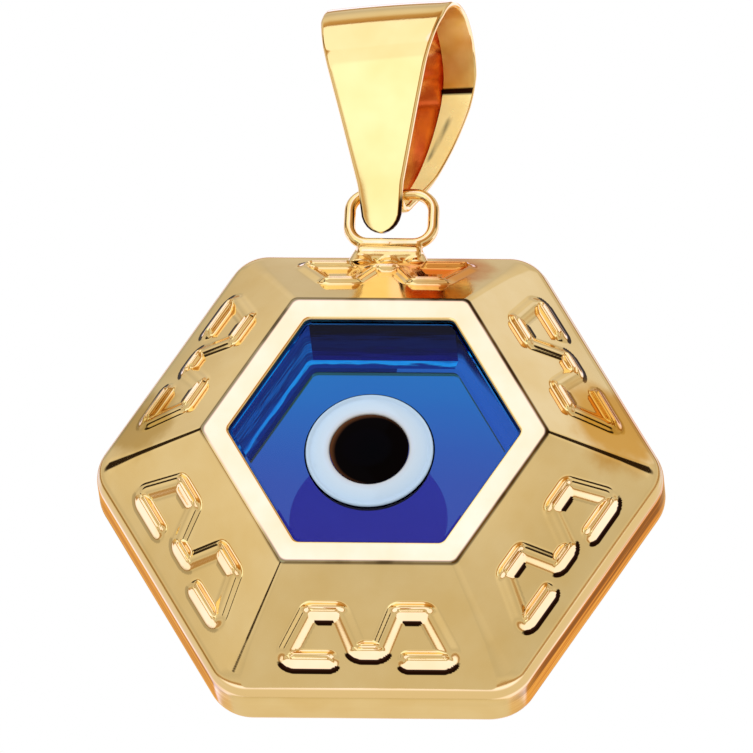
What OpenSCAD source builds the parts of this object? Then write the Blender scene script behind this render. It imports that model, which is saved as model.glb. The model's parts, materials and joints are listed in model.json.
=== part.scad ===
// A hexagonal eye pendant on a folded bail, modelled as it hangs from a chain.
// Millimetres, +Z up, +X to the right, the face looks along -Y.
// The origin is where the chain bears: the top of the bail's inside.

/* [Case] */
// Corner radius of the rim before its corners are rounded
rim_r = 10.3; // [9.5:0.1:11]
// Rounding of the six rim corners, seen from the front
rim_corner = 1.7; // [1:0.1:2.2]
// Corner radius of the flat face, out to where the panels start
face_r = 6.15; // [5.9:0.05:6.4]
// Corner radius of the window in the face
window_r = 5.18; // [5:0.02:5.3]
// Depth from the face to the front edge of the rim
panel_depth = 3.2; // [2.8:0.1:3.4]
// Depth from the face to the flat back
case_depth = 5.2; // [5:0.1:5.6]
// Thickness of the stamped gold
wall = 0.3; // [0.25:0.01:0.35]
// Width of the lip that is turned in behind the back plate
lip_w = 0.5; // [0.4:0.05:0.7]

/* [Key ornament] */
// Width of the raised stroke
stroke_w = 0.62; // [0.4:0.02:0.7]
// Height of the raised stroke above the panel
stroke_h = 0.22; // [0.1:0.01:0.3]
// Distance down the panel from the face edge to the top bars
key_top = 1.8; // [1.6:0.05:1.9]
// Distance down the panel from the face edge to the middle of the valley
key_valley = 3.2; // [3:0.05:3.3]
// Distance down the panel from the face edge to the foot bars
key_foot = 3.55; // [3.5:0.05:3.75]

/* [Glass and eye] */
// How far the front of the glass sits behind the face
glass_inset = 0.2; // [0.15:0.01:0.25]
// How far the block reaches past the window's corners
glass_margin = 0.32; // [0.25:0.01:0.4]
// Corner radius of the opening in the back plate
back_window_r = 5.1; // [4.9:0.05:5.2]
// Diameter of the white ring
ring_d = 4.4; // [4:0.1:4.6]
// Diameter of the dark pupil
pupil_d = 2.75; // [2.4:0.05:3]
// Height of the eye's dome above the glass
dome_h = 0.3; // [0.2:0.02:0.32]
// Sideways place of the eye in the window
eye_x = -0.15; // [-0.5:0.05:0.5]
// Height of the eye in the window, below the middle
eye_z = -0.75; // [-0.8:0.05:0.2]

/* [Loop] */
// Depth of the loop behind the face, above the centre of mass
loop_depth = 3; // [2.9:0.02:3.1]
// Height of the loop's top wire above the middle of the window
loop_rise = 11.31; // [11.1:0.05:11.5]
// Thickness of the loop's wire
wire_d = 0.42; // [0.38:0.01:0.44]
// Outside width of the loop
loop_w = 3.4; // [3.2:0.05:3.6]
// Outside height of the loop
loop_h = 2.44; // [2.44:0.02:2.5]
// Rounding of the loop's corners, at the middle of its wire
loop_corner = 0.7; // [0.45:0.05:0.7]
// Width of the solder bar under the loop
neck_w = 2.3; // [2:0.1:2.6]
// Thickness of the solder bar
neck_d = 0.84; // [0.8:0.02:0.9]

/* [Bail] */
// Outside radius of the bail's top bend
bend_r = 2.65; // [2.5:0.05:2.8]
// Thickness of the bail's strip
strip_t = 0.3; // [0.25:0.01:0.32]
// Depth of the loop's wire below the centre of the bend
wire_drop = 4.79; // [4.7:0.01:4.9]
// Inside radius of the closed end that the wire rests in
seat_r = 0.57; // [0.57:0.01:0.58]
// Width of the strip over the bend
strip_w = 4.75; // [4.5:0.05:5]
// Width of the tongue at the closed end
tongue_w = 1.5; // [1.4:0.05:1.6]
// How far the tongue reaches below the wire
tongue_drop = 1.62; // [1.4:0.02:1.64]
// Turn of the bail about the vertical
bail_turn = 12; // [0:1:12]
// Lean of the bail to the side, which slides its closed end along the wire
bail_lean = 2; // [0:0.5:2]

/* [Hidden] */
$fn = 48;
gap = 0.05;
gold = [0.93, 0.78, 0.47];
cobalt = [0.1, 0.24, 0.68];
milk = [0.86, 0.92, 0.97];
dark = [0.07, 0.05, 0.06];

// Height of the chain's seat above the wire and above the window
seat_rise = wire_drop + bend_r - strip_t;
window_z = -seat_rise - loop_rise;

// A hexagon's flat lies nearer its middle than its corners by this share
flat_share = cos(30);
face_flat = face_r * flat_share;
rim_flat = rim_r * flat_share;
// Angle between a panel and the face
slope = atan(panel_depth / (rim_flat - face_flat));
// A panel's inside lies this much deeper than its outside
slope_wall = wall / cos(slope);
rim_inner_r = rim_r - wall / flat_share;
lip_r = rim_inner_r - lip_w / flat_share;

corner_steps = 4;
// Radius and depth that a point on the panels' outside takes
function panel_r(depth) = face_r + (rim_r - face_r) * depth / panel_depth;

// The case's section, from the window over the outside and back inside it.
// Columns: corner radius, depth behind the face, rounding of the corners.
section = [
    [window_r, 0.08, 0.3],
    [window_r + 0.09, 0, 0.3],
    [face_r - 0.08, 0, 0.3],
    [panel_r(0.06), 0.06, 0.34],
    [panel_r(panel_depth * 0.5), panel_depth * 0.5, 0.7],
    [panel_r(panel_depth - 0.45), panel_depth - 0.45, 1.4],
    [rim_r - 0.16, panel_depth - 0.08, rim_corner],
    [rim_r, panel_depth + 0.42, rim_corner],
    [rim_r, case_depth - 0.5, rim_corner],
    [rim_r - 0.15, case_depth - 0.14, rim_corner],
    [rim_r - 0.55, case_depth, rim_corner],
    [lip_r, case_depth, rim_corner],
    [lip_r, case_depth - wall, rim_corner],
    [rim_inner_r, case_depth - wall, rim_corner],
    [rim_inner_r, panel_depth + 0.4, rim_corner],
    [panel_r(panel_depth - 0.65), panel_depth - 0.65 + slope_wall, 1.2],
    [panel_r(wall - slope_wall), wall, 0.3],
    [window_r, wall, 0.3],
];

// One turn of rounded hexagon at a depth behind the face
function hex_turn(corner_r, depth, rounding) = [
    for (corner = [0:5])
    for (step = [0:corner_steps])
    let (aim = 60 * corner, turn = aim - 30 + 60 * step / corner_steps)
    let (centre_r = corner_r - rounding / flat_share)
    [
        centre_r * cos(aim) + rounding * cos(turn),
        depth,
        centre_r * sin(aim) + rounding * sin(turn),
    ]
];

// The triangles of a band between rows of points, closed both ways
function band_faces(rows, columns) = [
    for (row = [0:rows - 1])
    for (column = [0:columns - 1])
    let (next_row = (row + 1) % rows, next_column = (column + 1) % columns)
    let (a = row * columns + column, b = row * columns + next_column)
    let (c = next_row * columns + next_column, d = next_row * columns + column)
    each [[a, b, c], [a, c, d]]
];

// The hollow stamped shell: face, six panels, rim and turned lip
module shell() {
    turns = [for (row = section) each hex_turn(row[0], row[1], row[2])];
    columns = 6 * (corner_steps + 1);
    polyhedron(turns, band_faces(len(section), columns), convexity = 6);
}

// One half of the key's middle line, from the valley out to the foot's end.
// Columns: distance from the panel's middle, distance down the panel.
half_key = [
    [0.4, key_valley],
    [0.98, key_top],
    [2.1, key_top],
    [3.02, key_foot],
    [1.4, key_foot],
];
key_line = concat([for (k = [len(half_key) - 1:-1:0]) [-half_key[k][0], half_key[k][1]]], half_key);

// The stroke's section: share of the width, share of the height
stroke_section = [[-0.5, -0.4], [-0.5, 0], [-0.3, 0.74], [0, 1], [0.3, 0.74], [0.5, 0], [0.5, -0.4]];
stroke_columns = len(stroke_section);

function heading(k) = (key_line[k + 1] - key_line[k]) / norm(key_line[k + 1] - key_line[k]);
function left_of(way) = [-way[1], way[0]];
function at_height(place, share) = [place[0], place[1], share * stroke_h];

// A bend has three sections. They meet at one point on its inside, and on its
// outside they stand square to the line before it, midway, and after it.
function bend_sections(k) =
    let (into = left_of(heading(k - 1)), away = left_of(heading(k)))
    let (between = (into + away) / norm(into + away), half_turn = into * between)
    let (inside = sign(left_of(heading(k - 1)) * heading(k)))
    [
        for (side = [into, between, away])
        for (p = stroke_section)
        let (reach = p[0] * stroke_w, mitre = between * reach / half_turn)
        at_height(key_line[k] + (reach * inside > 0 ? mitre : side * reach), p[1])
    ];

// An end has three sections, each narrower and lower than the one before
end_shapes = [[0, 1], [0.14, 0.86], [0.26, 0.45]];

function end_section(k, outwards, shape) = [
    for (p = stroke_section)
    let (side = left_of(heading(k == 0 ? 0 : k - 1)))
    at_height(
        key_line[k] + outwards * shape[0] + side * p[0] * stroke_w * shape[1],
        p[1] > 0 ? p[1] * shape[1] : p[1]
    )
];

module key_relief() {
    last = len(key_line) - 1;
    points = [
        for (k = [2:-1:0]) each end_section(0, -heading(0), end_shapes[k]),
        for (k = [1:last - 1]) each bend_sections(k),
        for (k = [0:2]) each end_section(last, heading(last - 1), end_shapes[k]),
    ];
    end = len(points) - stroke_columns;
    sides = [
        for (row = [0:stroke_columns:end - 1])
        for (column = [0:stroke_columns - 1])
        let (a = row + column, b = row + (column + 1) % stroke_columns)
        each [[a, b, b + stroke_columns], [a, b + stroke_columns, a + stroke_columns]]
    ];
    caps = [
        for (column = [1:stroke_columns - 2])
        each [[0, column + 1, column], [end, end + column, end + column + 1]]
    ];
    polyhedron(points, [
        for (f = concat(sides, caps))
        if (points[f[0]] != points[f[1]] && points[f[1]] != points[f[2]] && points[f[2]] != points[f[0]]) f
    ], convexity = 8);
}

// Lays its children on a panel: X along the side, Y down the slope, Z outwards
module on_panel(k) {
    rotate([0, 60 * k, 0])
    translate([0, 0, -face_flat])
    rotate([90 + slope, 0, 0])
    rotate([0, 0, 180])
    children();
}

// The loop's middle line is a rectangle with round corners
loop_side_x = (loop_w - wire_d) / 2;
loop_side_z = (loop_h - wire_d) / 2;

module loop() {
    flat_x = loop_side_x - loop_corner;
    flat_z = loop_side_z - loop_corner;
    for (quarter = [0:3])
    let (right = cos(45 + 90 * quarter) > 0 ? 1 : -1, upper = sin(45 + 90 * quarter) > 0 ? 1 : -1)
    translate([right * flat_x, 0, upper * flat_z])
    rotate([90, 0, 0])
    rotate([0, 0, 90 * quarter])
    rotate_extrude(angle = 90)
    translate([loop_corner, 0])
    circle(d = wire_d);

    for (side = [-1, 1]) {
        translate([-flat_x, 0, side * loop_side_z])
        rotate([0, 90, 0])
        cylinder(d = wire_d, h = 2 * flat_x);

        translate([side * loop_side_x, 0, -flat_z])
        cylinder(d = wire_d, h = 2 * flat_z);
    }
}

// The solder bar joins the loop to the rim
module neck() {
    bar_z = loop_rise - loop_h + wire_d - neck_d / 2 - 0.08;
    foot_z = rim_flat - 0.65;
    translate([-neck_w / 2, loop_depth, bar_z])
    rotate([0, 90, 0])
    cylinder(d = neck_d, h = neck_w);

    translate([-neck_w / 2, loop_depth - neck_d / 2, foot_z])
    cube([neck_w, neck_d, bar_z - foot_z]);
}

module case() {
    color(gold)
    translate([0, -loop_depth, window_z]) {
        shell();
        for (k = [0:5]) on_panel(k) key_relief();
        neck();
        translate([0, loop_depth, loop_rise - loop_side_z]) loop();
    }
}

// Depths of the pieces behind the face, from the lip forwards
plate_back = case_depth - wall - gap;
plate_front = plate_back - wall;
glass_back = plate_front - gap;
glass_front = wall + gap;

// A rounded hexagonal slab between two depths
module hex_slab(corner_r, rounding, front, back) {
    outline = hex_turn(corner_r, 0, rounding);
    translate([0, back, 0])
    rotate([90, 0, 0])
    linear_extrude(back - front)
    polygon([for (p = outline) [p[0], p[2]]]);
}

module back_plate() {
    color(gold)
    translate([0, -loop_depth, window_z])
    difference() {
        hex_slab(rim_inner_r - gap / flat_share, rim_corner - 0.2, plate_front, plate_back);
        hex_slab(back_window_r, 0.3, plate_front - 1, plate_back + 1);
    }
}

// A shaft along the eye's axis, between two depths behind the face
module eye_shaft(diameter, front, back) {
    translate([eye_x, front, eye_z])
    rotate([-90, 0, 0])
    cylinder(d = diameter, h = back - front);
}

socket_depth = 0.35;
socket_floor = glass_inset + socket_depth;

module blue_glass() {
    color(cobalt)
    translate([0, -loop_depth, window_z])
    difference() {
        union() {
            hex_slab(window_r + glass_margin, 0.3, glass_front, glass_back);
            hex_slab(window_r - gap / flat_share, 0.3, glass_inset, glass_front + 0.5);
        }
        eye_shaft(ring_d + 2 * gap, glass_inset - 1, socket_floor);
    }
}

// The eye's dome is one sphere, cut into the white ring and the pupil
dome_r = (pow(ring_d / 2, 2) + pow(dome_h, 2)) / (2 * dome_h);

module dome(inner_d, outer_d) {
    depth = socket_depth - gap;
    translate([eye_x, glass_inset, eye_z])
    rotate([90, 0, 0])
    rotate_extrude($fn = 96)
    intersection() {
        translate([inner_d / 2, -depth]) square([(outer_d - inner_d) / 2, depth + dome_h]);
        translate([0, dome_h - dome_r]) circle(dome_r, $fn = 720);
    }
}

module white_ring() {
    color(milk)
    translate([0, -loop_depth, window_z])
    dome(pupil_d + gap, ring_d);
}

module pupil() {
    color(dark)
    translate([0, -loop_depth, window_z])
    dome(0, pupil_d - gap);
}

// From the side the bail is a large round bend and a small round seat for the
// wire. A straight front leaf touches both, and so does a long back arc that
// leaves the bend upright. The seat's centre lies a little above the wire.
inner_r = bend_r - strip_t;
seat_drop = wire_drop - 0.15;
seat = [0, -seat_drop];
leaf_lean = asin((inner_r - seat_r) / seat_drop);
front_way = [-cos(leaf_lean), -sin(leaf_lean)];
back_arc_r = (pow(inner_r, 2) + pow(seat_drop, 2) - pow(seat_r, 2)) / (2 * (inner_r - seat_r));
back_centre = [inner_r - back_arc_r, 0];
back_way = (seat - back_centre) / norm(seat - back_centre);

// The space inside the bail, grown by a thickness
module side_outline(grow) {
    circle(inner_r + grow, $fn = 96);
    translate(seat) circle(seat_r + grow);
    intersection() {
        translate(back_centre) circle(back_arc_r + grow, $fn = 192);
        polygon([
            front_way * (inner_r + grow),
            seat + front_way * (seat_r + grow),
            seat + back_way * (seat_r + grow),
            seat + back_way * (seat_r + grow + 3),
            [inner_r + grow + 3, 0],
        ]);
    }
}

// The strip from the side: the bend, two leaves and the tongue below the seat
module strip_side() {
    difference() {
        side_outline(strip_t);
        side_outline(0);
    }
    translate(seat)
    rotate(leaf_lean)
    translate([-seat_r - strip_t, -tongue_drop - 1])
    square([strip_t, tongue_drop + 1]);
}

// The strip from the front. Columns: height above the bend's centre, width.
tongue_round_z = -wire_drop - tongue_drop + tongue_w / 2;
widths = [
    [bend_r + 1, strip_w],
    [bend_r * 0.45, strip_w * 0.96],
    [0, strip_w * 0.855],
    [-wire_drop * 0.5, strip_w * 0.6],
    [-wire_drop, strip_w * 0.355],
    [tongue_round_z, tongue_w],
];

module strip_front() {
    right = [for (row = widths) [row[1] / 2, row[0]]];
    tip = [for (turn = [-15:-15:-165]) [0, tongue_round_z] + tongue_w / 2 * [cos(turn), sin(turn)]];
    left = [for (k = [len(widths) - 1:-1:0]) [-widths[k][1] / 2, widths[k][0]]];
    polygon(concat(right, tip, left));
}

module bail() {
    color(gold)
    rotate([0, bail_lean, 0])
    translate([0, 0, -inner_r])
    rotate([0, 0, -bail_turn])
    intersection() {
        rotate([90, 0, 90])
        translate([0, 0, -strip_w])
        linear_extrude(2 * strip_w)
        strip_side();

        translate([0, 10, 0])
        rotate([90, 0, 0])
        linear_extrude(20)
        strip_front();
    }
}

case();
back_plate();
blue_glass();
white_ring();
pupil();
bail();
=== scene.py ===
"""A hexagonal eye pendant hanging from its bail: a stamped gold case round a blue glass eye."""
import json
import math

import bpy
import numpy as np
from mathutils import Matrix, Vector


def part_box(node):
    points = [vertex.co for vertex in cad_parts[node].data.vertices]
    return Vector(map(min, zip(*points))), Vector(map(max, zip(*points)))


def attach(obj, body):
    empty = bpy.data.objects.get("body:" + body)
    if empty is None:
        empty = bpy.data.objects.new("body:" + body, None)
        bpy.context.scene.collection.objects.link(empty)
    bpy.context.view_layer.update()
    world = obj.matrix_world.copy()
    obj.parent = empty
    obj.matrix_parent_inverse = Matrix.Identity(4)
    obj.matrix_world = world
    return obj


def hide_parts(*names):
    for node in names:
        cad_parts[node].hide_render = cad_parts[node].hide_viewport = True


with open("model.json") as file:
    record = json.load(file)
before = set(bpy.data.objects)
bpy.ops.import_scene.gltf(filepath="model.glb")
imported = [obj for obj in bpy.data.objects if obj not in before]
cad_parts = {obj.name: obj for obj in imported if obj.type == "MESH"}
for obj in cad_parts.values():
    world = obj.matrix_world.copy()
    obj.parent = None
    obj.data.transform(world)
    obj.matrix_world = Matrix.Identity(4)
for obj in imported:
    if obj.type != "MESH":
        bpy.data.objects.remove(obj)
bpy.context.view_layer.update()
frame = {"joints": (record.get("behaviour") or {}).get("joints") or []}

# The stamped case
# A sheet of yellow gold pressed over a die: a flat face round the window, six
# sloping sides with a raised key on each, a round-shouldered rim, and a lip that
# is turned in behind the back plate. One side is shaped here and turned six times.
mm = 0.001
case_low, case_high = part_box("case")
plate_low, plate_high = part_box("back_plate")
face_y = case_low.y
window = Vector((0, face_y, (plate_low.z + plate_high.z) / 2))
case_depth = case_high.y - face_y
rim_flat = window.z - case_low.z
face_flat = 5.326 * mm
window_flat = 4.486 * mm
wall = 0.3 * mm
lip_width = 0.5 * mm
panel_depth = 3.2 * mm
panel_run = rim_flat - face_flat
panel_length = math.hypot(panel_run, panel_depth)
panel_way = Vector((0, panel_depth / panel_length, -panel_run / panel_length))
inner_drop = wall * panel_length / panel_run
window_rounding = 0.3 * mm
rim_rounding = 1.7 * mm
ridge_roundings = np.array([0.3, 0.32, 0.42, 0.75, 1.5]) * mm
panel_bulge = 0.05 * mm


def round_corner(before, corner, after, radius, steps):
    """The points of an arc that rounds one corner of a section, as rows of numbers."""
    into = (before - corner)[:2] / np.linalg.norm((before - corner)[:2])
    away = (after - corner)[:2] / np.linalg.norm((after - corner)[:2])
    half = math.acos(np.clip(into @ away, -1, 1)) / 2
    reach = radius / math.tan(half)
    middle = corner[:2] + (into + away) / np.linalg.norm(into + away) * radius / math.sin(half)
    first, last = corner[:2] + into * reach, corner[:2] + away * reach
    a = math.atan2(*(first - middle)[::-1])
    turn = (math.atan2(*(last - middle)[::-1]) - a + math.pi) % (2 * math.pi) - math.pi
    angles = a + turn * np.linspace(0, 1, steps + 1)
    arc = middle + radius * np.column_stack([np.cos(angles), np.sin(angles)])
    return np.column_stack([arc, np.full(len(arc), corner[2])])


def ridge_rounding(down):
    """How round a ridge between two sides is, at a share of the way down the panel."""
    return float(np.interp(down, [0, 0.3, 0.6, 0.86, 0.98], ridge_roundings))


def section_rows(corners, spacings):
    """Rows of flat distance, depth and rounding down a closed section with round corners."""
    points = np.array([corner[:3] for corner in corners], float)
    arcs = [
        round_corner(points[k - 1], points[k], points[(k + 1) % len(points)], corner[3], corner[4])
        for k, corner in enumerate(corners)
    ]
    rows = []
    for k, arc in enumerate(arcs):
        after = arcs[(k + 1) % len(arcs)][0]
        length = np.linalg.norm(after[:2] - arc[-1][:2])
        steps = spacings.get(k, lambda length: [0.5])(length)
        rows.extend(arc)
        rows.extend(arc[-1] + (after - arc[-1]) * share for share in steps)
    return np.array(rows)


def hexagon_side(flat, rounding, shares, corner_steps):
    """X and Z of the lowest side of a rounded hexagon, from corner middle to corner middle."""
    half = (flat - rounding) / math.sqrt(3)
    turns = np.radians(np.linspace(0, 30, corner_steps + 1)[1:])
    corner_x = half + rounding * np.sin(turns)
    corner_z = -(flat - rounding) - rounding * np.cos(turns)
    x = np.concatenate([-corner_x[::-1], half * shares, corner_x])
    z = np.concatenate([corner_z[::-1], np.full(len(shares), -flat), corner_z])
    return x, z


def placed(name, data):
    """An object with this data, in the scene."""
    made = bpy.data.objects.new(name, data)
    bpy.context.scene.collection.objects.link(made)
    return made


def new_mesh(name, points, faces, smooth=True):
    """A mesh object with its faces pointing the way they are wound."""
    mesh = bpy.data.meshes.new(name)
    mesh.from_pydata([tuple(p) for p in points], [], [tuple(f) for f in faces])
    mesh.polygons.foreach_set("use_smooth", [smooth] * len(mesh.polygons))
    mesh.update()
    return placed(name, mesh)


def panel_spacing(length):
    """Shares of the way down a panel: wide rows, and fine ones where the key stands."""
    first_row, wide_step = 0.06 * mm, 0.15 * mm
    fine_from, fine_to, fine_step = 1.24 * mm, 4.12 * mm, 0.058 * mm
    clear_of_rim, last_row = 0.1 * mm, 0.05 * mm
    coarse = np.arange(first_row, fine_from, wide_step)
    fine = np.arange(fine_from, min(fine_to, length - clear_of_rim), fine_step)
    return np.concatenate([coarse, fine, [length - last_row]]) / length


rim_inner = rim_flat - wall
lip_flat = rim_inner - lip_width
inner_rim_depth = (rim_inner - face_flat) * panel_depth / panel_run + inner_drop
inner_face_flat = face_flat - (inner_drop - wall) * panel_run / panel_depth
# Columns: flat distance, depth, rounding of the hexagon, fillet, fillet steps
case_section = [
    [window_flat, wall, window_rounding, 0.04 * mm, 2],
    [window_flat, 0, window_rounding, 0.09 * mm, 4],
    [face_flat, 0, window_rounding, 0.14 * mm, 5],
    [rim_flat, panel_depth, rim_rounding, 0.9 * mm, 10],
    [rim_flat, case_depth, rim_rounding, 0.45 * mm, 8],
    [lip_flat, case_depth, rim_rounding, 0.1 * mm, 3],
    [lip_flat, case_depth - wall, rim_rounding, 0.08 * mm, 2],
    [rim_inner, case_depth - wall, rim_rounding, 0.1 * mm, 2],
    [rim_inner, inner_rim_depth, rim_rounding, 0.3 * mm, 3],
    [inner_face_flat, wall, window_rounding, 0.2 * mm, 2],
]
case_rows = section_rows(case_section, {1: lambda length: [0.08, 0.92], 2: panel_spacing})

# The columns lie close where the key stands and wide beside it
key_reach = 0.8
beside_key = np.linspace(key_reach, 1, 5)[1:]
side_shares = np.concatenate([-beside_key[::-1], np.linspace(-key_reach, key_reach, 109), beside_key])
corner_steps = 8
edge_reach = 0.06 * mm
window_skin = 0.02 * mm
window_edge = 0.05 * mm
sheet_reach = 0.1 * mm
rim_reach = 0.305 * mm
shoulder_top = panel_depth - 0.268 * mm
shoulder_end = panel_depth + 0.403 * mm
# Shares of the way down the shoulder where painted shade darkens it, and where the rim starts
shoulder_shade_places = [0.165, 0.255, 0.69, 0.79]
rim_start = 0.7
side_points = []
layers = {"panel_face": [], "face_edge": [], "rim": [], "shoulder": []}
for flat, depth, rounding in case_rows:
    down = (flat - face_flat) / panel_run
    at_edge = abs(flat - face_flat) < edge_reach and depth < edge_reach
    in_window = flat < window_flat + window_skin and window_edge < depth < wall + 0.01 * mm
    outside = 0 < down < 1 and abs(depth - down * panel_depth) < sheet_reach
    if outside:
        rounding = ridge_rounding(down)
    x, z = hexagon_side(flat, rounding, side_shares, corner_steps)
    across = np.clip(np.abs(x) * math.sqrt(3) / flat, 0, 1)
    bulge = panel_bulge * (1 - across**2) * 4 * down * (1 - down) if outside else 0 * x
    lift = np.outer(bulge, Vector((0, -panel_run, -panel_depth)) / panel_length)
    side_points.extend(np.column_stack([x, np.full_like(x, depth), z]) + lift)
    far_out = flat > rim_flat - rim_reach
    down_shoulder = (depth - shoulder_top) / (shoulder_end - shoulder_top)
    shoulder_shade = np.interp(down_shoulder, shoulder_shade_places, [0, 1, 1, 0]) if far_out else 0
    marks = (outside, at_edge or in_window, far_out and down_shoulder > rim_start, shoulder_shade)
    for values, mark in zip(layers.values(), marks):
        values += [float(mark)] * len(x)
columns = len(side_shares) + 2 * corner_steps
side_faces = []
for row in range(len(case_rows)):
    here, below = row * columns, (row + 1) % len(case_rows) * columns
    for k in range(columns - 1):
        side_faces.append((here + k, below + k, below + k + 1, here + k + 1))
side = new_mesh("case", np.array(side_points) + np.array(window), side_faces)
for layer_name, values in layers.items():
    layer = side.data.attributes.new(layer_name, "FLOAT", "POINT")
    layer.data.foreach_set("value", values)

# The key's middle line, from the valley out to the end of the foot.
# Columns: distance from the panel's middle, distance down the panel.
half_key = np.array([[0.4, 3.2], [0.98, 1.8], [2.1, 1.8], [3.02, 3.55], [1.4, 3.55]]) * mm
key_line = np.concatenate([half_key[::-1] * [-1, 1], half_key])
key_curve = bpy.data.curves.new("key_line", "CURVE")
key_curve.dimensions = "3D"
key_spline = key_curve.splines.new("POLY")
key_spline.points.add(len(key_line) - 1)
panel_top = window + Vector((0, 0, -face_flat))
for point, (across, down) in zip(key_spline.points, key_line):
    point.co = (*(panel_top + Vector((across, 0, 0)) + panel_way * down), 1)
key_object = placed("key_line", key_curve)


def feed(tree, sockets, values):
    """Sets sockets in their order, or links them where a value comes from another node."""
    for socket, value in zip(sockets, values):
        if isinstance(value, bpy.types.NodeSocket):
            tree.links.new(value, socket)
        else:
            socket.default_value = value


def fill(tree, node, **settings):
    """A node, once its properties are set, and its sockets by their names."""
    for name, value in settings.items():
        if name in node.bl_rna.properties:
            setattr(node, name, value)
        else:
            wanted = name.replace("_", " ")
            feed(tree, [next(s for s in node.inputs if s.name == wanted and s.enabled)], [value])
    return node


def add_node(tree, kind, **settings):
    """A new node of a tree, filled in."""
    return fill(tree, tree.nodes.new(kind), **settings)


def outcome(tree, kind, **settings):
    """What a new node gives first, once it is filled in."""
    return add_node(tree, kind, **settings).outputs[0]


def maths(tree, operation, a, b=0.0):
    """The result of one Math node."""
    node = add_node(tree, "ShaderNodeMath", operation=operation)
    feed(tree, node.inputs, (a, b))
    return node.outputs[0]


def times(tree, a, b):
    """The product of two values."""
    return maths(tree, "MULTIPLY", a, b)


def vector_maths(tree, operation, a, b=(0, 0, 0), scale=1.0):
    """What one Vector Math node gives: a vector, or a number where it measures something."""
    node = add_node(tree, "ShaderNodeVectorMath", operation=operation)
    feed(tree, (node.inputs[0], node.inputs[1], node.inputs[3]), (a, b, scale))
    measures = operation in ("DOT_PRODUCT", "DISTANCE", "LENGTH")
    return node.outputs["Value" if measures else "Vector"]


def span(tree, value, start, end, low=0.0, high=1.0, smooth=False):
    """A value's way from start to end, as a number from low to high, held beyond both."""
    kind = "SMOOTHSTEP" if smooth else "LINEAR"
    node = add_node(tree, "ShaderNodeMapRange", interpolation_type=kind)
    feed(tree, node.inputs, (value, start, end, low, high))
    return node.outputs["Result"]


def wandering(tree, size, **looks):
    """A noise about zero that is at most half its size to either side."""
    noise = outcome(tree, "ShaderNodeTexNoise", **looks)
    return times(tree, maths(tree, "SUBTRACT", noise, 0.5), size)


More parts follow.
